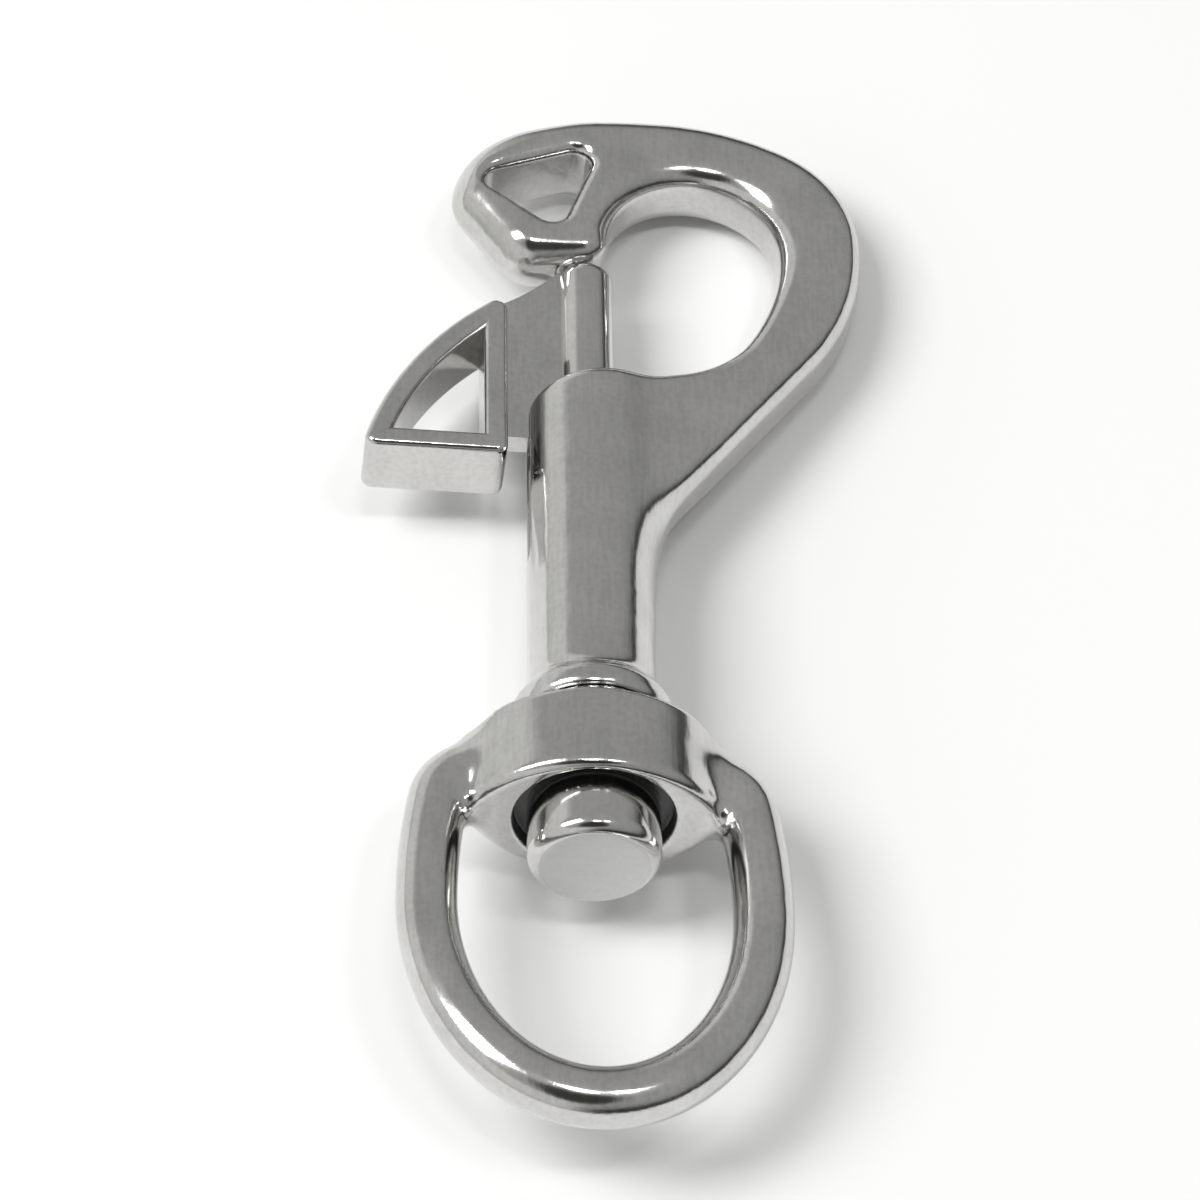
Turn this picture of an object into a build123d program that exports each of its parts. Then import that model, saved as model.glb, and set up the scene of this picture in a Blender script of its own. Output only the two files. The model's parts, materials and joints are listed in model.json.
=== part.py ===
from build123d import *
import math
import os

# Swivel-eye snap hook with a thumb trigger, cast in stainless steel. Millimetres.
# Working frame: the swivel axis is Y through X = Z = 0, with Y = 0 at the joint between
# the hook's collar and the eye's boss. The hook's mouth is at +X, the trigger at -X, and
# Z is across the flat of the hook. write_parts() moves everything to the final origin.

# ---- barrel and collar of the hook casting
BARREL_R = 5.9
COLLAR_R = 7.4
COLLAR_LEN = 2.4
COLLAR_EDGE_R = 0.9
COLLAR_ROOT_R = 1.8

# ---- flat plate of the hook
PLATE_T = 7.6               # thickness of the hook, nose and crown
OUTER_EDGE_R = 2.2          # rounding of the outer edges
BIGHT_EDGE_R = 1.8          # rounding inside the hook, and on the barrel's open end
ROOT_START_Y = 13.0         # where the plate starts to grow out of the barrel
ROOT_START_X = 4.6
ROOT_ARC_R = 26.0           # hollow curve from the barrel to the sloping flank
FLANK_ANGLE = 36.7          # slope of the flank from the swivel axis, degrees
FLANK_LEN = 21.0
LIMB_ARC_R = 25.0           # from the flank to the upright limb
LIMB_LEN = 0.8
SHOULDER_ARC_R = 13.5
SHOULDER_TURN = 62.0
CROWN_ARC_R = 27.0
NOSE_TOP_ARC_R = 65.0
NOSE_TOP_TURN = 11.5
NOSE_ARC_R = 9.6
NOSE_HEEL_R = 4.0
NOSE_HEEL_TURN = 35.0
NOSE_HEEL_LEN = 8.2
NOSE_TOE_R = 3.2

# ---- mouth of the hook, where the rope or ring lies
BIGHT_R = 8.5               # round top of the mouth
BIGHT_X = 10.6              # its centre
BIGHT_Y = 59.6
BIGHT_LIMB_R = 25.0
BIGHT_LIMB_TURN = 30.0
BIGHT_FLOOR_R = 10.5
FLOOR_TILT = 11.7           # slope of the floor and the barrel's open end, degrees
NOSE_GAP_Y = 57.4           # underside of the nose, which the bolt closes against

# ---- window in the nose: corners before rounding
WINDOW_CORNERS = [(-11.6, 66.8), (1.6, 72.2), (-2.8, 60.0)]
WINDOW_CORNER_R = 1.6
WINDOW_EDGE_R = 0.7

# ---- bolt, its bore and its slot
BOLT_R = 2.7
BOLT_RUN_CLEAR = 0.06       # radial running clearance in the bore
BOLT_LEN = 27.2
BOLT_TIP_GAP = 0.5          # tip to the nose at its lip, closed
BOLT_TIP_R = 1.5
BOLT_END_CHAMFER = 0.4
TRAVEL = 14.0
SLOT_CLEAR = 0.2            # each side of the trigger's web
SLOT_END_CLEAR = 0.8        # below the web when the bolt is fully back

# ---- trigger: web through the slot, and a quarter-round thumb loop
WEB_T = 2.1
WEB_FOOT_Y = 34.2
WEB_HEAD_Y = 51.0
WEB_RISE = 5.0              # the web's top edge climbs this much towards the bolt
WEB_RISE_START = 0.45       # slope of that edge at the loop
WEB_RISE_END = 1.0          # and at the bolt
TONGUE_DEPTH = 3.7          # how far the web's tongue goes into the bolt
LOOP_T = 7.0
LOOP_GAP = 2.0              # barrel to loop
LOOP_FOOT_Y = 30.4
LOOP_LEN = 20.6
LOOP_DEPTH = 14.6
LOOP_ARC_R = 34.0
LOOP_BAR = 2.25             # width of the loop's rim in plan
LOOP_EDGE_R = 0.7
LOOP_CORNER_R = 1.1

# ---- cross pin that fixes the trigger's tongue in the bolt
CROSS_PIN_R = 0.75
CROSS_PIN_X = -0.6
CROSS_PIN_ABOVE_FOOT = 3.4

# ---- swivel spindle
SHANK_R = 3.2
SHANK_RUN_CLEAR = 0.08      # radial running clearance in the boss
PRESS_LEN = 8.5             # length pressed into the barrel
HEAD_R = 6.05
HEAD_EDGE_R = 1.4
HEAD_PROUD = 5.3            # head beyond the boss's end face
GUIDE_R = 1.35              # spring guide on the spindle's inner end
GUIDE_LEN = 4.6

# ---- spring behind the bolt
WIRE_R = 0.35
SPRING_MEAN_R = 2.05
SPRING_TURNS = 8.0

# ---- eye: boss and bow
AXIAL_PLAY = 0.15           # at each end of the boss
BOSS_LEN = 9.95
BOSS_HALF_H = 8.3
BOSS_FACE_R = 13.0          # radius of its two curved faces
BOSS_EDGE_R = 1.0
SHOULDER_LEN = 4.2          # the boss widens over this length, from the neck to its full width
NECK_R = 7.0
NECK_LEN = 2.2
COUNTERBORE_R = 7.3
COUNTERBORE_DEPTH = 1.6
BOW_R = 2.75                # radius of the round bar
BOW_HALF_W = 15.0           # to the bar's centreline
BOW_LEN = 39.9              # from the collar joint to the centreline at the far end
ARM_Y = -5.3
ARM_LEN = 9.9               # straight part of the bar, out from the swivel axis
ARM_BEND_R = 4.2
ARM_BEND_TURN = 80.0

# ---- worked out from the sizes above
HALF_T = PLATE_T / 2
BORE_R = BOLT_R + BOLT_RUN_CLEAR
SLOT_W = WEB_T + 2 * SLOT_CLEAR
SLOT_END_Y = WEB_FOOT_Y - TRAVEL - SLOT_END_CLEAR
BOLT_TIP_Y = NOSE_GAP_Y - BOLT_TIP_GAP
BOLT_END_Y = BOLT_TIP_Y - BOLT_LEN
LOOP_X = -(BARREL_R + LOOP_GAP)
BOSS_TOP_Y = -AXIAL_PLAY
BOSS_END_Y = BOSS_TOP_Y - BOSS_LEN
HEAD_BACK_Y = BOSS_END_Y + COUNTERBORE_DEPTH - AXIAL_PLAY
HEAD_FRONT_Y = BOSS_END_Y - HEAD_PROUD
BIG = 200.0                 # longer than the whole object, for cutting tools
SAME = 0.001                # closer than this, two positions are the same


def along_y(radius, y0, y1, x=0.0, z=0.0):
    """A round bar parallel to the swivel axis, from y0 to y1."""
    disc = Plane((x, y0, z), x_dir=(1, 0, 0), z_dir=(0, 1, 0)) * Circle(radius)
    return extrude(disc, amount=y1 - y0)


def prism(outline, thickness):
    """A plan outline made solid, centred on Z = 0."""
    return extrude(outline, amount=thickness / 2, both=True)


def edges_on(solid, curves):
    """The solid's edges that run along the given plan curves, at any height."""
    found = []
    for edge in solid.edges():
        middle = edge.position_at(0.5)
        spot = Vector(middle.X, middle.Y, 0)
        upright = abs(edge.tangent_at(0.5).Z) > 1 - SAME
        if not upright and min(curve.distance_to(spot) for curve in curves) < SAME:
            found.append(edge)
    return found


def at_height(edges, half_t):
    """Those edges that run along a plate's two flat faces."""
    return [edge for edge in edges if abs(abs(edge.position_at(0.5).Z) - half_t) < SAME]


def outer_plan():
    """Plan of the hook, from the barrel round the crown to the nose, and its visible rim."""
    lip = Vector(BIGHT_X - BIGHT_R, NOSE_GAP_Y)
    step_y = BIGHT_Y - BIGHT_R
    with BuildSketch() as plan:
        with BuildLine():
            start = Line((ROOT_START_X, ROOT_START_Y - 1), (ROOT_START_X, ROOT_START_Y))
            root = JernArc(start @ 1, (0, 1), ROOT_ARC_R, -FLANK_ANGLE)
            flank = Line(root @ 1, (root @ 1) + (root % 1) * FLANK_LEN)
            limb = JernArc(flank @ 1, flank % 1, LIMB_ARC_R, FLANK_ANGLE)
            upright = Line(limb @ 1, (limb @ 1) + (limb % 1) * LIMB_LEN)
            shoulder = JernArc(upright @ 1, upright % 1, SHOULDER_ARC_R, SHOULDER_TURN)
            crown = JernArc(shoulder @ 1, shoulder % 1, CROWN_ARC_R, 90 - SHOULDER_TURN)
            top = JernArc(crown @ 1, crown % 1, NOSE_TOP_ARC_R, NOSE_TOP_TURN)
            nose = JernArc(top @ 1, top % 1, NOSE_ARC_R, 90 - NOSE_TOP_TURN)
            heel = JernArc(nose @ 1, nose % 1, NOSE_HEEL_R, NOSE_HEEL_TURN)
            toe = Line(heel @ 1, (heel @ 1) + (heel % 1) * NOSE_HEEL_LEN)
            past_lip = lip + (lip - (toe @ 1)).normalized() * BIGHT_R / 2
            under = Line(toe @ 1, past_lip)
            hidden = Polyline(past_lip, (past_lip.X, step_y), (0, step_y), (0, ROOT_START_Y - 1), start @ 0)
        make_face()
        fillet(plan.vertices().sort_by_distance(under @ 0)[0], NOSE_TOE_R)
    rim = []
    for edge in plan.edges():
        middle = edge.position_at(0.5)
        if min(start.distance_to(middle), hidden.distance_to(middle)) > SAME:
            rim.append(edge)
    return plan.sketch, rim


def mouth_plan():
    """Plan of the mouth and the gap below the nose, the mouth's rim, and its sloping floor."""
    wall_x = BIGHT_X - BIGHT_R
    bend_turn = 90 - BIGHT_LIMB_TURN - FLOOR_TILT
    with BuildSketch() as plan:
        with BuildLine():
            bight = CenterArc((BIGHT_X, BIGHT_Y), BIGHT_R, 180, -180)
            inner = JernArc(bight @ 1, (0, -1), BIGHT_LIMB_R, -BIGHT_LIMB_TURN)
            bend = JernArc(inner @ 1, inner % 1, BIGHT_FLOOR_R, -bend_turn)
            floor = Line(bend @ 1, (bend @ 1) + (bend % 1) * 3 * BARREL_R)
            gap_y = (NOSE_GAP_Y + BIGHT_Y - BIGHT_R) / 2
            Polyline(floor @ 1, ((floor @ 1).X, gap_y), (wall_x, gap_y), bight @ 0)
        make_face()
    return plan.sketch, [bight, inner, bend], floor


def window_plan():
    """Plan of the three-cornered window in the nose."""
    with BuildSketch() as plan:
        with BuildLine():
            Polyline(*WINDOW_CORNERS, close=True)
        make_face()
        fillet(plan.vertices(), WINDOW_CORNER_R)
    return plan.sketch


def make_plate():
    """Flat part of the hook: rounded outside, mouth and nose window."""
    outside, rim = outer_plan()
    mouth, mouth_rim, _ = mouth_plan()
    window = window_plan()
    plate = prism(outside, PLATE_T)
    plate = fillet(edges_on(plate, rim), OUTER_EDGE_R)
    plate = plate - prism(mouth, 2 * PLATE_T)
    plate = fillet(at_height(edges_on(plate, mouth_rim), HALF_T), BIGHT_EDGE_R)
    plate = plate - prism(window, 2 * PLATE_T)
    return fillet(edges_on(plate, window.edges()), WINDOW_EDGE_R)


def make_hook_body():
    """The casting: collar, bored and slotted barrel, and the hook plate."""
    _, _, floor = mouth_plan()
    floor_high = floor @ 0
    floor_low = floor @ 1
    barrel = along_y(BARREL_R, 0, NOSE_GAP_Y)
    above_floor = Polyline(floor_low, floor_high + (floor_high - floor_low), (floor_low.X, BIG), close=True)
    barrel = barrel - prism(make_face(above_floor), 4 * BARREL_R)
    open_end = barrel.faces().filter_by(GeomType.PLANE).sort_by(Axis.Y)[-1]
    barrel = fillet(open_end.edges(), BIGHT_EDGE_R)
    collar = along_y(COLLAR_R, 0, COLLAR_LEN)
    collar = fillet(collar.edges(), COLLAR_EDGE_R)
    body = barrel + collar
    circles = body.edges().filter_by(GeomType.CIRCLE)
    circles = [edge for edge in circles if abs(edge.center().Y - COLLAR_LEN) < SAME]
    body = fillet([edge for edge in circles if abs(edge.radius - BARREL_R) < SAME], COLLAR_ROOT_R)
    body = body + make_plate()
    body = body - along_y(BORE_R, 0, (floor_high.Y + NOSE_GAP_Y) / 2)
    body = body - along_y(SHANK_R, 0, PRESS_LEN)
    slot_round_y = SLOT_END_Y + SLOT_W / 2
    slot_top_y = (floor_low.Y + NOSE_GAP_Y) / 2
    slot_len = slot_top_y - slot_round_y
    slot = Pos(-BARREL_R, slot_round_y + slot_len / 2) * Box(2 * BARREL_R, slot_len, SLOT_W)
    slot_end = Pos(-BARREL_R, slot_round_y) * Rot(0, 90, 0) * Cylinder(SLOT_W / 2, 2 * BARREL_R)
    return body - slot - slot_end


def make_bolt():
    """Sliding bolt with a domed tip, slotted for the trigger's tongue and cross-drilled for the pin."""
    bolt = along_y(BOLT_R, BOLT_END_Y, BOLT_TIP_Y)
    ends = bolt.edges().filter_by(GeomType.CIRCLE).sort_by(Axis.Y)
    bolt = fillet(ends[-1], BOLT_TIP_R)
    ends = bolt.edges().filter_by(GeomType.CIRCLE).sort_by(Axis.Y)
    bolt = chamfer(ends[0], BOLT_END_CHAMFER)
    return bolt - prism(web_plan(), WEB_T) - cross_pin_bar(2 * BOLT_R)


def web_plan():
    """Plan of the trigger's web, from the tongue inside the bolt out to the thumb loop."""
    tongue_x = TONGUE_DEPTH - BOLT_R
    loop_x = LOOP_X - LOOP_BAR / 2
    head_y = WEB_HEAD_Y + WEB_RISE
    slopes = [(1, WEB_RISE_START), (1, WEB_RISE_END)]
    with BuildSketch() as plan:
        with BuildLine():
            rise = Spline((loop_x, WEB_HEAD_Y), (-BOLT_R, head_y), tangents=slopes)
            Polyline(rise @ 1, (tongue_x, head_y), (tongue_x, WEB_FOOT_Y), (loop_x, WEB_FOOT_Y), rise @ 0)
        make_face()
    return plan.sketch


def cross_pin_bar(length):
    """A round bar across the bolt, where the tongue is pinned."""
    return Pos(CROSS_PIN_X, WEB_FOOT_Y + CROSS_PIN_ABOVE_FOOT) * Cylinder(CROSS_PIN_R, length)


def loop_plan(inset):
    """Plan of the thumb loop: a quarter round with an upright bar beside the barrel."""
    right = LOOP_X - inset
    foot = LOOP_FOOT_Y + inset
    radius = LOOP_ARC_R - inset
    head = LOOP_FOOT_Y + LOOP_LEN - inset
    arc_x = LOOP_X - LOOP_DEPTH + LOOP_ARC_R
    arc_y = LOOP_FOOT_Y + LOOP_LEN - math.sqrt(LOOP_ARC_R ** 2 - (LOOP_X - arc_x) ** 2)
    disc = Pos(arc_x, arc_y) * Circle(radius)
    frame = Pos(right - BIG, (foot + head) / 2) * Rectangle(2 * BIG, head - foot)
    return disc & frame


def make_trigger():
    """Thumb loop and web, one casting."""
    plan = loop_plan(0)
    loop = prism(fillet(plan.vertices(), LOOP_CORNER_R), LOOP_T)
    loop = loop - prism(loop_plan(LOOP_BAR), 2 * LOOP_T)
    loop = fillet(at_height(loop.edges(), LOOP_T / 2), LOOP_EDGE_R)
    return loop + prism(web_plan(), WEB_T) - cross_pin_bar(2 * BOLT_R)


def make_cross_pin():
    """Pin through the bolt and the trigger's tongue, flush inside the bore."""
    half_chord = math.sqrt(BOLT_R ** 2 - (abs(CROSS_PIN_X) + CROSS_PIN_R) ** 2)
    return cross_pin_bar(2 * half_chord)


def make_spindle():
    """Swivel pin: head, shank through the boss, pressed end, and guide for the spring."""
    head = along_y(HEAD_R, HEAD_FRONT_Y, HEAD_BACK_Y)
    front = head.edges().filter_by(GeomType.CIRCLE).sort_by(Axis.Y)[0]
    head = fillet(front, HEAD_EDGE_R)
    shank = along_y(SHANK_R, HEAD_BACK_Y, PRESS_LEN)
    guide = along_y(GUIDE_R, PRESS_LEN, PRESS_LEN + GUIDE_LEN)
    guide = chamfer(guide.edges().filter_by(GeomType.CIRCLE).sort_by(Axis.Y)[-1], GUIDE_R / 3)
    return head + shank + guide


def make_spring():
    """Compression spring between the spindle and the bolt."""
    low = PRESS_LEN + WIRE_R
    high = BOLT_END_Y - WIRE_R
    coil = Helix(pitch=(high - low) / SPRING_TURNS, height=high - low, radius=SPRING_MEAN_R)
    coil = Pos(0, low) * Rot(-90, 0, 0) * coil
    section = Plane(origin=coil @ 0, z_dir=coil % 0) * Circle(WIRE_R)
    return sweep(section, path=coil, is_frenet=True)


def boss_plan():
    """Plan of the boss: rounded shoulders from the neck out to its full width."""
    half_w = math.sqrt(BOSS_FACE_R ** 2 - (BOSS_FACE_R - BOSS_HALF_H) ** 2)
    shoulder_y = BOSS_TOP_Y - SHOULDER_LEN
    shoulders = Pos(0, shoulder_y) * Ellipse(half_w, SHOULDER_LEN)
    back = Pos(0, shoulder_y - BIG / 2) * Rectangle(2 * half_w, BIG)
    return shoulders + back


def make_eye():
    """Swivel eye: bored boss with a counterbore for the spindle's head, and the bow."""
    offset = BOSS_FACE_R - BOSS_HALF_H
    face_plane = Plane((0, BOSS_TOP_Y - NECK_LEN / 2, 0), x_dir=(1, 0, 0), z_dir=(0, -1, 0))
    lens = (Pos(0, offset) * Circle(BOSS_FACE_R)) & (Pos(0, -offset) * Circle(BOSS_FACE_R))
    boss = extrude(face_plane * lens, amount=BOSS_LEN - NECK_LEN / 2)
    boss = fillet(boss.faces().sort_by(Axis.Y)[0].edges(), BOSS_EDGE_R)
    boss = boss & prism(boss_plan(), 4 * BOSS_HALF_H)
    neck = along_y(NECK_R, BOSS_TOP_Y - NECK_LEN, BOSS_TOP_Y)
    with BuildLine() as path:
        arm = Line((0, ARM_Y), (ARM_LEN, ARM_Y))
        bend = JernArc(arm @ 1, (1, 0), ARM_BEND_R, -ARM_BEND_TURN)
        side_r = (BOW_HALF_W - (bend @ 1).X) / (1 - math.sin(math.radians(ARM_BEND_TURN)))
        side = JernArc(bend @ 1, bend % 1, side_r, ARM_BEND_TURN - 90)
        EllipticalCenterArc((0, (side @ 1).Y), BOW_HALF_W, BOW_LEN + (side @ 1).Y, 0, arc_size=-90)
    section = Plane(origin=path.wire() @ 0, z_dir=path.wire() % 0) * Circle(BOW_R)
    half = sweep(section, path=path.wire())
    bow = half + half.mirror(Plane.YZ)
    eye = boss + neck + bow
    eye = eye - along_y(SHANK_R + SHANK_RUN_CLEAR, BOSS_END_Y - BOW_R, BOSS_TOP_Y + BOW_R)
    return eye - along_y(COUNTERBORE_R, BOSS_END_Y - BOW_R, BOSS_END_Y + COUNTERBORE_DEPTH)


def write_parts():
    """Builds every piece, moves the whole to its origin and writes one STEP per piece."""
    pieces = {
        "hook_body": make_hook_body(),
        "bolt": make_bolt(),
        "trigger": make_trigger(),
        "cross_pin": make_cross_pin(),
        "bolt_spring": make_spring(),
        "swivel_spindle": make_spindle(),
        "swivel_eye": make_eye(),
    }
    box = Compound([solid for piece in pieces.values() for solid in piece.solids()]).bounding_box()
    middle = box.center()
    to_origin = Pos(-middle.X, -middle.Y, -box.min.Z)
    os.makedirs("parts", exist_ok=True)
    for name, piece in pieces.items():
        export_step(to_origin * piece, f"parts/{name}.step")
    print("swivel axis at X", round(-middle.X, 3), "collar joint at Y", round(-middle.Y, 3),
          "middle plane at Z", round(-box.min.Z, 3))


write_parts()
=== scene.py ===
import json
import math
import bpy
import numpy as np
from mathutils import Matrix, Vector


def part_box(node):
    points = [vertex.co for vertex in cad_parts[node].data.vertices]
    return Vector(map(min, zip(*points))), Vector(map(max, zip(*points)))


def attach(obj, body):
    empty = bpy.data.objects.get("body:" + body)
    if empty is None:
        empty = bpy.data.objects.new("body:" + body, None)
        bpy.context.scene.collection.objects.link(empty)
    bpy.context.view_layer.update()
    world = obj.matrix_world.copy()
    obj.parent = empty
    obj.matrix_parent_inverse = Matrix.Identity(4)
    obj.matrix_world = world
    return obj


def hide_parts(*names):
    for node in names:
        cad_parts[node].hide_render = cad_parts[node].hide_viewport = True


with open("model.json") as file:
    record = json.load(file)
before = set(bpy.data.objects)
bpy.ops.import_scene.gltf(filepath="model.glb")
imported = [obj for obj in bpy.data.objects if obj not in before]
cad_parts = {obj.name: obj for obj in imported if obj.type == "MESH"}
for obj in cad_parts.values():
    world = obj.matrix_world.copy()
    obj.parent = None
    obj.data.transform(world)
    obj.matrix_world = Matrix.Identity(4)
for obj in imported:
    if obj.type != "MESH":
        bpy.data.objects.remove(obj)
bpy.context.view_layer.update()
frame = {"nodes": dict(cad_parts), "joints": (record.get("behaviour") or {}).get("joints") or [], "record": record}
nodes = frame["nodes"]
scene = bpy.context.scene

MM = 0.001
swivel = next(joint for joint in frame["joints"] if joint["name"] == "eye_swivel")
axis_x, _, axis_z = swivel["pos_m"]
collar_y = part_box("hook_body")[0].y


def at(x, y, z):
    """Row-frame point for millimetres from the swivel axis, the collar joint and the middle plane."""
    return Vector((axis_x + x * MM, collar_y + y * MM, axis_z + z * MM))


# ---- camera
RIGHT = Vector((0.99382, -0.01470, 0.11000))
UP = Vector((-0.05888, 0.77034, 0.63490))
BACK = RIGHT.cross(UP).normalized()
UP = BACK.cross(RIGHT).normalized()
camera = bpy.data.objects.new("camera", bpy.data.cameras.new("camera"))
scene.collection.objects.link(camera)
camera.data.sensor_width = 36
camera.data.lens = 148.5
camera.data.clip_start = 0.01
camera.data.clip_end = 20
turned_to = Matrix((RIGHT, UP, BACK)).transposed().to_4x4()
camera.matrix_world = Matrix.Translation(at(-42.36, -277.66, 351.79)) @ turned_to
scene.camera = camera


# ---- signed distance fields, in millimetres from the swivel axis, collar joint and middle plane
def round_max(a, b, r):
    """Where two solids meet in an outside corner of radius r."""
    inner = np.minimum(np.maximum(a, b), -r)
    return inner + np.hypot(np.maximum(a + r, 0), np.maximum(b + r, 0))


def cast_min(a, b, reach):
    """Union of two solids, run into each other by a soft fillet of about that reach."""
    near = np.maximum(reach - np.abs(a - b), 0)
    return np.minimum(a, b) - near * near / (4 * reach)


def slab(v, low, high):
    """Distance to the layer between two values of a coordinate, negative inside."""
    return np.maximum(low - v, v - high)


def ease(t):
    """0 to 1 with soft ends."""
    t = np.clip(t, 0, 1)
    return t * t * (3 - 2 * t)


ARC_STEP = 0.35             # length of the short lines that stand for an arc


def walk(start, heading, moves):
    """Points along a chain of lines (length,) and arcs (radius, degrees left), and its last heading."""
    points = [np.array(start, float)]
    angle = math.radians(heading)
    for move in moves:
        if len(move) == 1:
            points.append(points[-1] + move[0] * np.array((math.cos(angle), math.sin(angle))))
            continue
        radius, turn = move[0], math.radians(move[1])
        side = math.copysign(1, turn)
        centre = points[-1] + side * radius * np.array((-math.sin(angle), math.cos(angle)))
        steps = max(3, int(abs(turn) * radius / ARC_STEP))
        for k in range(1, steps + 1):
            a = angle + turn * k / steps
            points.append(centre + side * radius * np.array((math.sin(a), -math.cos(a))))
        angle += turn
    return points, math.degrees(angle)


FAR = 1e9                   # squared distance that everything is nearer than
TINY = 1e-12


def squared_distance(start, end, x, y):
    """Squared distance in the plan to one straight line."""
    (ax, ay), (bx, by) = start, end
    dx, dy = bx - ax, by - ay
    t = np.clip(((x - ax) * dx + (y - ay) * dy) / (dx * dx + dy * dy), 0, 1)
    return (x - ax - t * dx) ** 2 + (y - ay - t * dy) ** 2


def polygon_field(points, x, y):
    """Signed distance in the plan to a closed outline, negative inside."""
    best = np.full(x.shape, FAR)
    inside = np.zeros(x.shape, bool)
    for start, end in zip(points, points[1:] + points[:1]):
        (ax, ay), (bx, by) = start, end
        if (bx - ax) ** 2 + (by - ay) ** 2 < TINY:
            continue
        best = np.minimum(best, squared_distance(start, end, x, y))
        if ay != by:
            crosses = (ay > y) != (by > y)
            inside ^= crosses & (x < ax + (y - ay) * (bx - ax) / (by - ay))
    return np.where(inside, -1, 1) * np.sqrt(best)


def line_field(points, x, y):
    """Distance in the plan to an open line."""
    best = np.full(x.shape, FAR)
    for start, end in zip(points, points[1:]):
        best = np.minimum(best, squared_distance(start, end, x, y))
    return np.sqrt(best)


def grid(low, high, step):
    """Open grid of sample positions from low to high."""
    axes = [np.arange(a, b + step, step) for a, b in zip(low, high)]
    return np.ix_(*axes)


# ---- from a sampled field to a mesh
def crossings(field, axis):
    """Grid edges along an axis where the field changes sign: first corner, crossing, first value."""
    first = [slice(None)] * 3
    second = [slice(None)] * 3
    first[axis], second[axis] = slice(0, -1), slice(1, None)
    f0, f1 = field[tuple(first)], field[tuple(second)]
    crossed = (f0 < 0) != (f1 < 0)
    corner = np.argwhere(crossed)
    a, b = f0[crossed], f1[crossed]
    spot = corner.astype(np.float32)
    spot[:, axis] += a / (a - b)
    return corner, spot, a


def drawn_in(p, field):
    """Vertices in grid units moved towards the field's zero, at most half a cell."""
    i = np.minimum(p.astype(int), np.array(field.shape) - 2)
    t = p - i
    value = 0
    slope = np.zeros_like(p)
    for corner in np.ndindex(2, 2, 2):
        c = np.array(corner)
        f = field[tuple((i + c).T)]
        w = np.where(c == 1, t, 1 - t)
        value = value + f * w.prod(1)
        for k in range(3):
            others = [j for j in range(3) if j != k]
            slope[:, k] += f * (1 if c[k] else -1) * w[:, others].prod(1)
    size = np.maximum((slope ** 2).sum(1), 1e-6)
    move = -(value / size)[:, None] * slope
    length = np.maximum(np.sqrt((move ** 2).sum(1)), 1e-9)
    return p + move * np.minimum(1, 0.5 / length)[:, None]


DRAW_ROUNDS = 3


def surface(name, node, field, low, step):
    """Closed mesh where a sampled field is zero, kept within the box of the CAD node it stands for."""
    cells = tuple(n - 1 for n in field.shape)
    total = np.zeros((*cells, 3), np.float32)
    count = np.zeros(cells, np.uint8)
    quads = []
    for axis in range(3):
        corner, spot, value = crossings(field, axis)
        u, v = [k for k in range(3) if k != axis]
        keep = (corner[:, u] > 0) & (corner[:, v] > 0)
        keep &= (corner[:, u] < cells[u]) & (corner[:, v] < cells[v])
        corner, spot, value = corner[keep], spot[keep], value[keep]
        around = []
        for du, dv in ((0, 0), (1, 0), (1, 1), (0, 1)):
            cell = corner.copy()
            cell[:, u] -= du
            cell[:, v] -= dv
            flat = np.ravel_multi_index(cell.T, cells)
            np.add.at(total.reshape(-1, 3), flat, spot)
            np.add.at(count.reshape(-1), flat, 1)
            around.append(flat)
        ring = np.stack(around, 1)
        flip = (value < 0) != (axis == 1)
        ring[flip] = ring[flip][:, ::-1]
        quads.append(ring)
    used = np.flatnonzero(count.reshape(-1))
    index = np.full(count.size, -1, np.int64)
    index[used] = np.arange(len(used))
    vertices = total.reshape(-1, 3)[used] / count.reshape(-1)[used][:, None]
    for _ in range(DRAW_ROUNDS):
        vertices = drawn_in(vertices, field)
    place = (vertices * step + np.array(low)) * MM + np.array(at(0, 0, 0))
    place = np.clip(place, *[np.array(corner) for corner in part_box(node)])
    return quad_object(name, place, index[np.concatenate(quads)])


def quad_object(name, vertices, faces):
    """A smooth object of quads."""
    mesh = bpy.data.meshes.new(name)
    mesh.vertices.add(len(vertices))
    mesh.vertices.foreach_set("co", vertices.astype(np.float32).ravel())
    mesh.loops.add(faces.size)
    mesh.loops.foreach_set("vertex_index", faces.astype(np.int32).ravel())
    mesh.polygons.add(len(faces))
    mesh.polygons.foreach_set("loop_start", np.arange(0, faces.size, 4, dtype=np.int32))
    mesh.polygons.foreach_set("use_smooth", np.ones(len(faces), bool))
    mesh.update(calc_edges=True)
    mesh.validate()
    piece = bpy.data.objects.new(name, mesh)
    scene.collection.objects.link(piece)
    return piece


# ---- hook casting: the CAD node's outlines, with cast blends between barrel and plate
HALF_T = 3.8
BARREL_R = 5.9
BARREL_TOP_Y = 52.0         # inside the plate; the mouth cuts the barrel below this
COLLAR_R = 7.4
COLLAR_LEN = 2.4
COLLAR_EDGE_R = 0.9
BORE_R = 2.76
BORE_TOP_Y = 53.5
SHANK_R = 3.2
PRESS_LEN = 8.5
SLOT_HALF_W = 1.25
SLOT_ROUND_Y = 20.65        # centre of the slot's round end
SLOT_EDGE_R = 0.25
LIP = (2.1, 57.4)           # where the nose's underside meets the mouth
UNDER_LEN = 4.0             # the underside runs on this far past the lip
HIDDEN_TOP_Y = 51.0
PLATE_ROOT = ((0, 3.0), (0.5, 3.0), (2.0, 5.5), (3.3, 8.0), (4.2, 10.5))
RIM_START = (4.6, 13.0)
RIM = [(26.0, -36.7), (21.0,), (25.0, 36.7), (0.8,), (13.5, 62.0), (27.0, 28.0),
       (65.0, 11.5), (9.6, 78.5), (4.0, 35.0), (8.8,)]
TOE_R = 4.4
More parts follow.
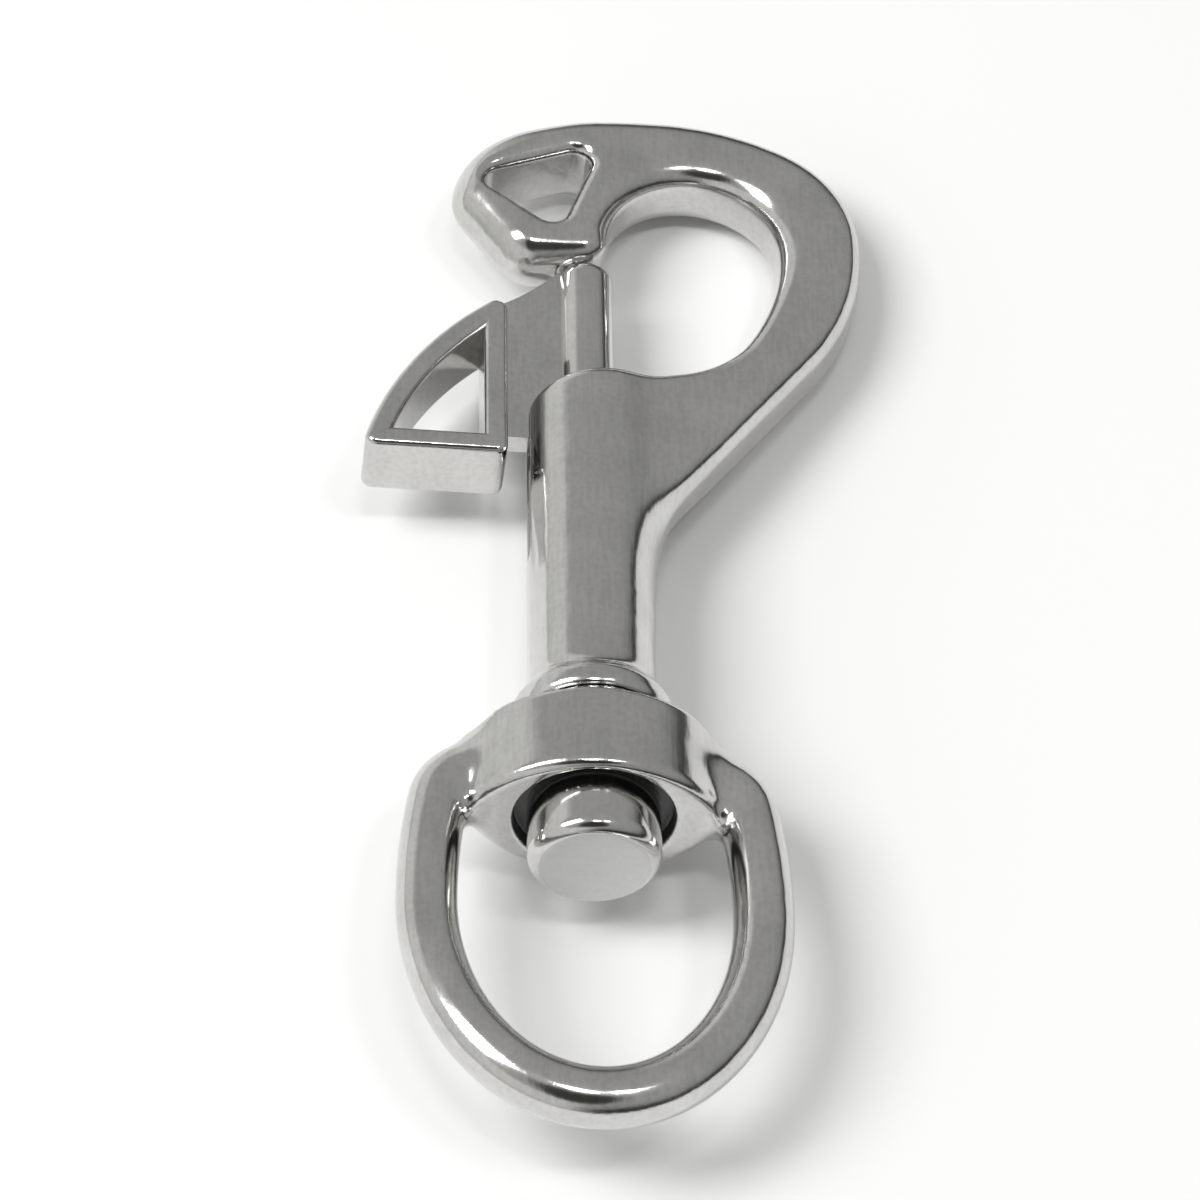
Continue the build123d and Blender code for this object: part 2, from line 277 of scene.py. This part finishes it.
MOUTH_START = (2.1, 59.6)
MOUTH_RIM = [(8.5, -180), (25.0, -30), (10.5, -48.3), (17.7,)]
MOUTH_GAP_Y = 54.0
WINDOW = [np.array(p) for p in ((-11.6, 66.8), (-2.8, 60.0), (1.6, 72.2))]
WINDOW_R = 1.6
WINDOW_EDGE_R = 1.3
NOSE_X, NOSE_FADE_X = 1.0, 10.0
NOSE_Y, NOSE_FADE_Y = 52.0, 4.0
FOOT_Y, FOOT_FADE_Y = 34.0, 14.0
BEVEL_W, BEVEL_W_NOSE = 3.0, 1.0
BEVEL_DROP, BEVEL_DROP_NOSE = 0.115, 0.015
EDGE_R, EDGE_R_MORE = 1.3, 1.1
MOUTH_EDGE_R, MOUTH_EDGE_R_TOP = 1.7, 0.8
MOUTH_TOP_Y, MOUTH_FADE_Y = 50.0, 10.0
PLATE_BLEND = 3.0
COLLAR_BLEND = 2.4


def hook_outline():
    """Closed plan of the hook plate with its rounded toe; the root tapers away inside the barrel."""
    points, heading = walk(RIM_START, 90, RIM)
    toe, lip = points[-1], np.array(LIP)
    turn = math.degrees(math.atan2(lip[1] - toe[1], lip[0] - toe[0])) - heading + 360
    cut = TOE_R * math.tan(math.radians(turn / 2))
    heel_len = np.linalg.norm(toe - points[-2]) - cut
    rounded, _ = walk(points[-2], heading, [(heel_len,), (TOE_R, turn)])
    past = lip + (lip - toe) / np.linalg.norm(lip - toe) * UNDER_LEN
    hidden = [past, np.array((past[0], HIDDEN_TOP_Y)), np.array((0, HIDDEN_TOP_Y))]
    return [np.array(p) for p in PLATE_ROOT] + points[:-1] + rounded[1:] + hidden


def inset_corners(corners, distance):
    """A three-cornered outline with every side moved in by a distance."""
    a, b, c = corners
    sides = np.array([np.linalg.norm(b - c), np.linalg.norm(c - a), np.linalg.norm(a - b)])
    middle = (sides[:, None] * np.array(corners)).sum(0) / sides.sum()
    area = abs((b[0] - a[0]) * (c[1] - a[1]) - (b[1] - a[1]) * (c[0] - a[0])) / 2
    keep = 1 - distance * sides.sum() / (2 * area)
    return [middle + (corner - middle) * keep for corner in corners]


def mouth_outline():
    """Closed plan of the mouth and of the gap below the nose."""
    rim, _ = walk(MOUTH_START, 90, MOUTH_RIM)
    return rim + [np.array((rim[-1][0], MOUTH_GAP_Y)), np.array((MOUTH_START[0], MOUTH_GAP_Y))]


def hook_field(low, high, step):
    """Hook casting: plate, barrel and collar, less the mouth, window, bore and slot."""
    x, y, z = grid(low, high, step)
    x2, y2 = np.broadcast_arrays(x[:, :, 0], y[:, :, 0])
    outline = polygon_field(hook_outline(), x2, y2)[:, :, None]
    mouth = polygon_field(mouth_outline(), x2, y2)[:, :, None]
    window = polygon_field(inset_corners(WINDOW, WINDOW_R), x2, y2)[:, :, None] - WINDOW_R
    nose = ease((NOSE_X - x) / NOSE_FADE_X) * ease((y - NOSE_Y) / NOSE_FADE_Y)
    foot = ease((FOOT_Y - y) / FOOT_FADE_Y)
    bevel = BEVEL_W + BEVEL_W_NOSE * nose
    drop = np.maximum(bevel + outline, 0) ** 2 * (BEVEL_DROP + BEVEL_DROP_NOSE * nose)
    height = np.abs(z) - HALF_T + drop
    plate = round_max(outline, height, EDGE_R + EDGE_R_MORE * (nose + foot))
    round_ = np.hypot(x, z)
    barrel = np.maximum(round_ - BARREL_R, slab(y, 0, BARREL_TOP_Y))
    hook = cast_min(barrel, plate, PLATE_BLEND)
    collar = round_max(round_ - COLLAR_R, slab(y, 0, COLLAR_LEN), COLLAR_EDGE_R)
    hook = cast_min(hook, collar, COLLAR_BLEND)
    hook = np.maximum(hook, -y)
    mouth_edge = MOUTH_EDGE_R + MOUTH_EDGE_R_TOP * ease((y - MOUTH_TOP_Y) / MOUTH_FADE_Y)
    hook = round_max(hook, -mouth, mouth_edge)
    hook = round_max(hook, -window, WINDOW_EDGE_R)
    bore = np.maximum(round_ - BORE_R, y - BORE_TOP_Y)
    hole = np.maximum(round_ - SHANK_R, y - PRESS_LEN)
    slot = np.maximum(np.maximum(np.abs(z) - SLOT_HALF_W, x), SLOT_ROUND_Y - y)
    slot_end = np.maximum(np.hypot(z, y - SLOT_ROUND_Y) - SLOT_HALF_W, x)
    slot = np.maximum(np.minimum(slot, slot_end), y - BORE_TOP_Y)
    hook = np.maximum(hook, -np.minimum(bore, hole))
    return round_max(hook, -slot, SLOT_EDGE_R).astype(np.float32)


STEP = 0.22
HOOK_LOW, HOOK_HIGH = (-14.2, -0.6, -8.0), (28.3, 77.2, 8.0)
hook = surface("hook_casting", "hook_body", hook_field(HOOK_LOW, HOOK_HIGH, STEP), HOOK_LOW, STEP)
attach(hook, "hook")
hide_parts("hook_body")

# ---- swivel eye: boss with rounded shoulders, run into the bow
BOW_R = 2.75
BOW_HALF_W = 15.0
BOW_LEN = 39.9
BOW_END_STEPS = 60
ARM_Y = -5.3
ARM_LEN = 9.9
ARM_BEND_R = 4.2
ARM_BEND_TURN = 80
BOSS_TOP_Y = -0.15
BOSS_END_Y = -10.1
BOSS_EDGE_R = 1.0
BOSS_HALF_W = 12.1
FACE_R = 13.0
FACE_OFFSET = 4.7
FACE_EDGE_R = 1.2
SHOULDER_LEN = 4.2
SHOULDER_EDGE_R = 0.5
SHOULDER_STEEPEST = 0.98    # keeps the shoulder's curve short of its square end
SHOULDER_SLOPE = 0.75       # evens out the field on the sloping shoulder
NECK_R = 7.0
NECK_LEN = 2.2
NECK_BLEND = 1.6
BOW_BLEND = 2.4
COUNTERBORE_R = 7.3
COUNTERBORE_DEPTH = 1.6
COUNTERBORE_EDGE_R = 0.35
EYE_BORE_R = 3.28


def bow_path():
    """Centreline of half the bow, from the swivel axis out and round to the far end."""
    arm, _ = walk((0, ARM_Y), 0, [(ARM_LEN,), (ARM_BEND_R, -ARM_BEND_TURN)])
    side_r = (BOW_HALF_W - arm[-1][0]) / (1 - math.sin(math.radians(ARM_BEND_TURN)))
    side, _ = walk(arm[-1], -ARM_BEND_TURN, [(side_r, ARM_BEND_TURN - 90)])
    end_y = side[-1][1]
    oval = [np.array((BOW_HALF_W * math.cos(a), end_y - (BOW_LEN + end_y) * math.sin(a)))
            for a in np.linspace(0, math.pi / 2, BOW_END_STEPS)]
    return arm + side[1:] + oval[1:]


def eye_field(low, high, step):
    """Swivel eye: boss, neck and bow, less the bore and the counterbore."""
    x, y, z = grid(low, high, step)
    x2, y2 = np.broadcast_arrays(x[:, :, 0], y[:, :, 0])
    bow = np.hypot(line_field(bow_path(), np.abs(x2), y2)[:, :, None], z) - BOW_R
    front = np.hypot(x, z - FACE_OFFSET) - FACE_R
    back = np.hypot(x, z + FACE_OFFSET) - FACE_R
    shoulder = np.clip((y + SHOULDER_LEN - BOSS_TOP_Y) / SHOULDER_LEN, 0, SHOULDER_STEEPEST)
    plan = (np.abs(x) - BOSS_HALF_W * np.sqrt(1 - shoulder ** 2)) * SHOULDER_SLOPE
    boss = np.maximum(round_max(front, back, FACE_EDGE_R), plan)
    boss = round_max(boss, BOSS_END_Y - y, BOSS_EDGE_R)
    boss = round_max(boss, y - BOSS_TOP_Y + NECK_LEN / 2, SHOULDER_EDGE_R)
    round_ = np.hypot(x, z)
    neck = np.maximum(round_ - NECK_R, slab(y, BOSS_TOP_Y - NECK_LEN, BOSS_TOP_Y))
    eye = cast_min(boss, neck, NECK_BLEND)
    eye = cast_min(eye, bow, BOW_BLEND)
    eye = np.maximum(eye, y - BOSS_TOP_Y)
    cut_y = BOSS_END_Y - BOW_R
    counterbore = np.maximum(round_ - COUNTERBORE_R, slab(y, cut_y, BOSS_END_Y + COUNTERBORE_DEPTH))
    eye = round_max(eye, -counterbore, COUNTERBORE_EDGE_R)
    bore = np.maximum(round_ - EYE_BORE_R, cut_y - y)
    return np.maximum(eye, -bore).astype(np.float32)


EYE_LOW, EYE_HIGH = (-18.4, -43.3, -8.9), (18.4, 0.6, 8.9)
eye = surface("eye_casting", "swivel_eye", eye_field(EYE_LOW, EYE_HIGH, STEP), EYE_LOW, STEP)
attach(eye, "eye")
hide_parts("swivel_eye")

# ---- floor: the object lies tipped on it, on the eye's bar, the boss and the crown
FLOOR_NORMAL = Vector((-0.087, -0.060, 0.99)).normalized()
FLOOR_GAP = 0.02 * MM
FLOOR_HALF = 1.5
lowest = min(v.co @ FLOOR_NORMAL for node in nodes.values() for v in node.data.vertices)
side = FLOOR_NORMAL.cross(Vector((0, 1, 0))).normalized()
along = FLOOR_NORMAL.cross(side).normalized()
under = at(0, 20, 0)
centre = under - FLOOR_NORMAL * (under @ FLOOR_NORMAL - lowest + FLOOR_GAP)
floor_mesh = bpy.data.meshes.new("floor")
corners = [centre + side * a * FLOOR_HALF + along * b * FLOOR_HALF
           for a, b in ((-1, -1), (-1, 1), (1, 1), (1, -1))]
floor_mesh.from_pydata(corners, [], [(0, 1, 2, 3)])
floor = bpy.data.objects.new("floor", floor_mesh)
scene.collection.objects.link(floor)


def blank(material):
    """An empty node tree with an output and a main shader."""
    material.use_nodes = True
    tree = material.node_tree
    tree.nodes.clear()
    out = tree.nodes.new("ShaderNodeOutputMaterial")
    shader = tree.nodes.new("ShaderNodeBsdfPrincipled")
    tree.links.new(shader.outputs[0], out.inputs[0])
    return tree.nodes, tree.links, shader


floor_material = bpy.data.materials.new("pale_floor")
_, _, floor_shader = blank(floor_material)
floor_shader.inputs["Base Color"].default_value = (0.93, 0.93, 0.93, 1)
floor_shader.inputs["Roughness"].default_value = 0.8
floor_shader.inputs["Specular IOR Level"].default_value = 0.1
floor_mesh.materials.append(floor_material)

# ---- soft studio light: a grey room above the table, darker low on the right and behind the camera
scene.view_settings.view_transform = "Standard"
world = bpy.data.worlds.new("studio")
scene.world = world
world.use_nodes = True
room_nodes, room_links = world.node_tree.nodes, world.node_tree.links
room_nodes.clear()

# grey by height: below the horizon the ramps stay at 0, straight up is 1
RIGHT_SIDE = [(0.0, 0.03), (0.18, 0.04), (0.34, 0.30), (0.50, 0.38), (1.0, 0.43)]
LEFT_SIDE = [(0.0, 0.60), (0.08, 0.74), (0.44, 0.74), (0.56, 0.42), (1.0, 0.43)]
SIDES_MEET = (-0.35, 0.15)
ONLOOKER_EDGE = (0.90, 0.965)
ONLOOKER_GREY = (0.045, 0.045, 0.04, 1)
BLUE_SHARE = 0.985          # the room is very slightly warm


def grey_ramp(bands):
    """A colour ramp through (position, grey) bands."""
    node = room_nodes.new("ShaderNodeValToRGB")
    ramp = node.color_ramp
    while len(ramp.elements) < len(bands):
        ramp.elements.new(0.5)
    for element, (position, grey) in zip(ramp.elements, bands):
        element.position = position
        element.color = (grey, grey, grey * BLUE_SHARE, 1)
    return node


def soft_step(source, edges):
    """A value turned into 0 to 1 between two edges, with soft ends."""
    node = room_nodes.new("ShaderNodeMapRange")
    node.interpolation_type = "SMOOTHSTEP"
    node.inputs["From Min"].default_value, node.inputs["From Max"].default_value = edges
    room_links.new(source, node.inputs["Value"])
    return node.outputs["Result"]


def colour_mix(factor, first):
    """A colour mix node with its factor and first colour linked."""
    node = room_nodes.new("ShaderNodeMix")
    node.data_type = "RGBA"
    room_links.new(factor, node.inputs["Factor"])
    room_links.new(first, node.inputs["A"])
    return node


world_out = room_nodes.new("ShaderNodeOutputWorld")
sky = room_nodes.new("ShaderNodeBackground")
room_links.new(sky.outputs[0], world_out.inputs[0])
direction = room_nodes.new("ShaderNodeTexCoord")
split = room_nodes.new("ShaderNodeSeparateXYZ")
room_links.new(direction.outputs["Generated"], split.inputs[0])
right_side, left_side = grey_ramp(RIGHT_SIDE), grey_ramp(LEFT_SIDE)
for ramp in (right_side, left_side):
    room_links.new(split.outputs["Z"], ramp.inputs["Fac"])
room = colour_mix(soft_step(split.outputs["X"], SIDES_MEET), left_side.outputs["Color"])
room_links.new(right_side.outputs["Color"], room.inputs["B"])
towards = room_nodes.new("ShaderNodeVectorMath")
towards.operation = "DOT_PRODUCT"
towards.inputs[1].default_value = BACK
room_links.new(direction.outputs["Generated"], towards.inputs[0])
onlooker = colour_mix(soft_step(towards.outputs["Value"], ONLOOKER_EDGE), room.outputs["Result"])
onlooker.inputs["B"].default_value = ONLOOKER_GREY
room_links.new(onlooker.outputs["Result"], sky.inputs["Color"])

# name, place in millimetres, width and depth in metres, power
LAMPS = [
    ("lamp_left", (-1100, -150, 1250), 0.6, 0.9, 18),
    ("lamp_front", (-80, -420, 1450), 0.28, 0.16, 2.6),
    ("lamp_front_2", (380, -380, 1450), 0.22, 0.16, 2.0),
]
target = at(5, 20, 0)
for name, place, width, depth, power in LAMPS:
    data = bpy.data.lights.new(name, "AREA")
    data.shape = "RECTANGLE"
    data.size = width
    data.size_y = depth
    data.energy = power
    lamp = bpy.data.objects.new(name, data)
    scene.collection.objects.link(lamp)
    lamp.location = at(*place)
    lamp.rotation_mode = "QUATERNION"
    lamp.rotation_quaternion = (at(*place) - target).to_track_quat("Z", "Y")

# ---- steels
BROAD_SCALE = 160           # cloudy change of tint and gloss
LINE_SCALE = 260            # polishing lines, LINE_STRETCH times finer across the polish
LINE_STRETCH = 9.0
SPECK_SCALE = 1700
GLOSS_SPREAD = 0.3
MARKS = (0.75, 1.15)        # specks and lines together, from darkest to lightest
MARKS_SHARE = 0.8
BUMP_STRENGTH = 0.35
LINE_BUMP = 0.00002
RIPPLE_BUMP = 0.00010


def steel(name, tint, rough, grain, polish_axis, uneven=0.13, ripple_scale=330):
    """Polished stainless: changes of tint and gloss, specks, soft ripple and fine polishing lines."""
    material = bpy.data.materials.new(name)
    n, l, shader = blank(material)
    shader.inputs["Metallic"].default_value = 1.0
    coord = n.new("ShaderNodeTexCoord")

    def noise(scale, detail, vector=coord.outputs["Object"]):
        node = n.new("ShaderNodeTexNoise")
        node.inputs["Scale"].default_value = scale
        node.inputs["Detail"].default_value = detail
        l.new(vector, node.inputs["Vector"])
        return node.outputs["Fac"]

    def map_to(value, low, high):
        node = n.new("ShaderNodeMapRange")
        node.inputs["To Min"].default_value = low
        node.inputs["To Max"].default_value = high
        l.new(value, node.inputs["Value"])
        return node

    def bump(height, distance):
        node = n.new("ShaderNodeBump")
        node.inputs["Strength"].default_value = BUMP_STRENGTH
        node.inputs["Distance"].default_value = distance
        l.new(height, node.inputs["Height"])
        return node

    broad = noise(BROAD_SCALE, 5)
    tone = n.new("ShaderNodeValToRGB")
    dark, light = tone.color_ramp.elements
    dark.position, light.position = 0.3, 0.7
    dark.color = (*[c * (1 - uneven) for c in tint], 1)
    light.color = (*tint, 1)
    l.new(broad, tone.inputs["Fac"])
    gloss = map_to(broad, rough * (1 - GLOSS_SPREAD), rough * (1 + GLOSS_SPREAD))
    l.new(gloss.outputs["Result"], shader.inputs["Roughness"])
    stretch = n.new("ShaderNodeMapping")
    scales = [1.0 if k == polish_axis else LINE_STRETCH for k in range(3)]
    stretch.inputs["Scale"].default_value = scales
    l.new(coord.outputs["Object"], stretch.inputs["Vector"])
    lines = noise(LINE_SCALE, 4, stretch.outputs["Vector"])
    marks = n.new("ShaderNodeMath")
    marks.operation = "ADD"
    l.new(noise(SPECK_SCALE, 3), marks.inputs[0])
    l.new(lines, marks.inputs[1])
    worn = map_to(marks.outputs[0], 1 - MARKS_SHARE * uneven, 1)
    worn.inputs["From Min"].default_value, worn.inputs["From Max"].default_value = MARKS
    colour = n.new("ShaderNodeMix")
    colour.data_type = "RGBA"
    colour.blend_type = "MULTIPLY"
    colour.inputs["Factor"].default_value = 1
    l.new(tone.outputs["Color"], colour.inputs["A"])
    l.new(worn.outputs["Result"], colour.inputs["B"])
    l.new(colour.outputs["Result"], shader.inputs["Base Color"])
    fine = bump(lines, LINE_BUMP * grain)
    wave = bump(noise(ripple_scale, 1), RIPPLE_BUMP * grain)
    l.new(fine.outputs["Normal"], wave.inputs["Normal"])
    l.new(wave.outputs["Normal"], shader.inputs["Normal"])
    return material


cast = steel("cast_steel", (0.68, 0.675, 0.66), 0.14, 1.2, 1)
turned = steel("turned_steel", (0.68, 0.675, 0.66), 0.12, 0.6, 1, uneven=0.1)
wire = steel("spring_wire", (0.55, 0.55, 0.54), 0.2, 0.5, 1)
finishes = {"cast_stainless": cast, "turned_stainless": turned, "spring_wire": wire}
slots = {part["node"]: part["material_slot"] for part in frame["record"]["subparts"]}
for name, node in nodes.items():
    node.data.materials.clear()
    node.data.materials.append(finishes[slots[name]])
for piece in (hook, eye):
    piece.data.materials.append(cast)


def repaint(piece, material, wanted):
    """Gives the faces for which wanted(centre in millimetres, normal) is true another finish."""
    piece.data.materials.append(material)
    origin = at(0, 0, 0)
    for face in piece.data.polygons:
        if wanted((face.center - origin) / MM, face.normal):
            face.material_index = len(piece.data.materials) - 1


def on_boss_end(spot, normal):
    """The boss's end face, outside the counterbore and short of the bow."""
    across = math.hypot(spot.x, spot.z)
    return normal.y < -0.6 and spot.y < -9.2 and across > 7.5 and abs(spot.x) < 11.5


def in_counterbore(spot, normal):
    """The wall and floor of the counterbore, which get the dark painted shade."""
    return -10.0 < spot.y < -8.0 and math.hypot(spot.x, spot.z) < 7.35


def on_head_front(spot, normal):
    """The flat front of the spindle's head."""
    return normal.y < -0.97 and spot.y < -14.0


as_cast = steel("as_cast_steel", (0.30, 0.295, 0.285), 0.42, 9.0, 1, uneven=0.5, ripple_scale=750)
# painted shade: the counterbore is the same steel, tinted near black to stand for the shade deep in the recess
counterbore_shade = steel("counterbore_shade_steel", (0.14, 0.14, 0.14), 0.5, 4.0, 1)
faced = steel("faced_steel", (0.60, 0.60, 0.59), 0.38, 0.4, 0, uneven=0.06)
repaint(eye, as_cast, on_boss_end)
repaint(eye, counterbore_shade, in_counterbore)
repaint(nodes["swivel_spindle"], faced, on_head_front)
